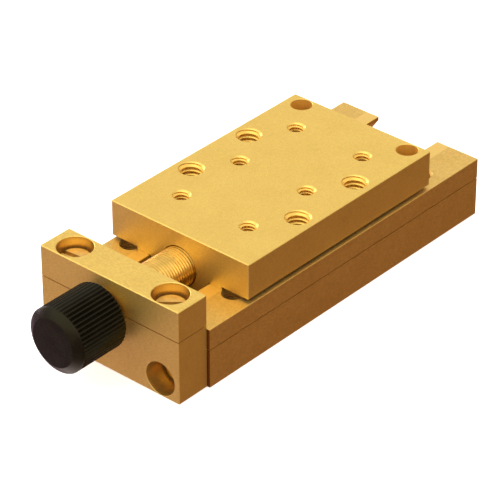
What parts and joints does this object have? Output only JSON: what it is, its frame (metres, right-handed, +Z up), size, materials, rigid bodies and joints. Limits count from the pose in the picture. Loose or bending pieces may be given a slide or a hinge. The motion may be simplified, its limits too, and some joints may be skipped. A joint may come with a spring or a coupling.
{
  "type": "dovetail linear stage",
  "caption": "Small brass positioning slide: a drilled carriage rides on dovetail rails and is moved by a leadscrew turned by a ribbed black knob in a split end block.",
  "frame": {"origin": "middle of the base plate's underside", "axes": "+Z up, out of the carriage's top face; +Y along the leadscrew, away from the knob; +X to the right seen from the knob"},
  "size_m": [0.0424, 0.1222, 0.025],
  "materials": {
    "brass": "satin, fine-ground, slightly mottled",
    "screw_brass": "turned, slightly darker",
    "leadscrew_brass": "fine thread, bright crests",
    "bronze": "machined bearing bronze",
    "hardened_steel": "ground",
    "black_plastic": "satin moulded, straight ribs"
  },
  "bodies": {
    "base": {"base_plate": "brass", "left_rail": "brass", "right_rail": "brass", "rail_screw_left_front": "screw_brass", "rail_screw_left_rear": "screw_brass", "rail_screw_right_front": "screw_brass", "rail_screw_right_rear": "screw_brass", "rail_dowel_front": "hardened_steel", "rail_dowel_rear": "hardened_steel", "bearing_block": "brass", "bearing_cap": "brass", "cap_screw_left": "screw_brass", "cap_screw_right": "screw_brass", "block_screw_left": "screw_brass", "block_screw_right": "screw_brass", "thrust_washer_front": "hardened_steel", "thrust_washer_rear": "hardened_steel"},
    "screw": {"leadscrew": "leadscrew_brass", "knob": "black_plastic", "knob_bush": "screw_brass", "knob_set_screw": "hardened_steel"},
    "carriage": {"carriage": "brass", "lead_nut": "bronze"}
  },
  "joints": [
    {"name": "screw_turn", "type": "hinge", "parent": "base", "child": "screw", "pos_m": [0, -0.05235, 0.0161], "axis": [0, 1, 0], "range_deg": [-6000, 6000]},
    {"name": "carriage_slide", "type": "slide", "parent": "base", "child": "carriage", "axis": [0, 1, 0], "range_m": [-0.0125, 0.0125]}
  ],
  "couplings": [
    {"joint": "screw_turn", "follows": "carriage_slide", "rad_per_m": -8377.6}
  ]
}
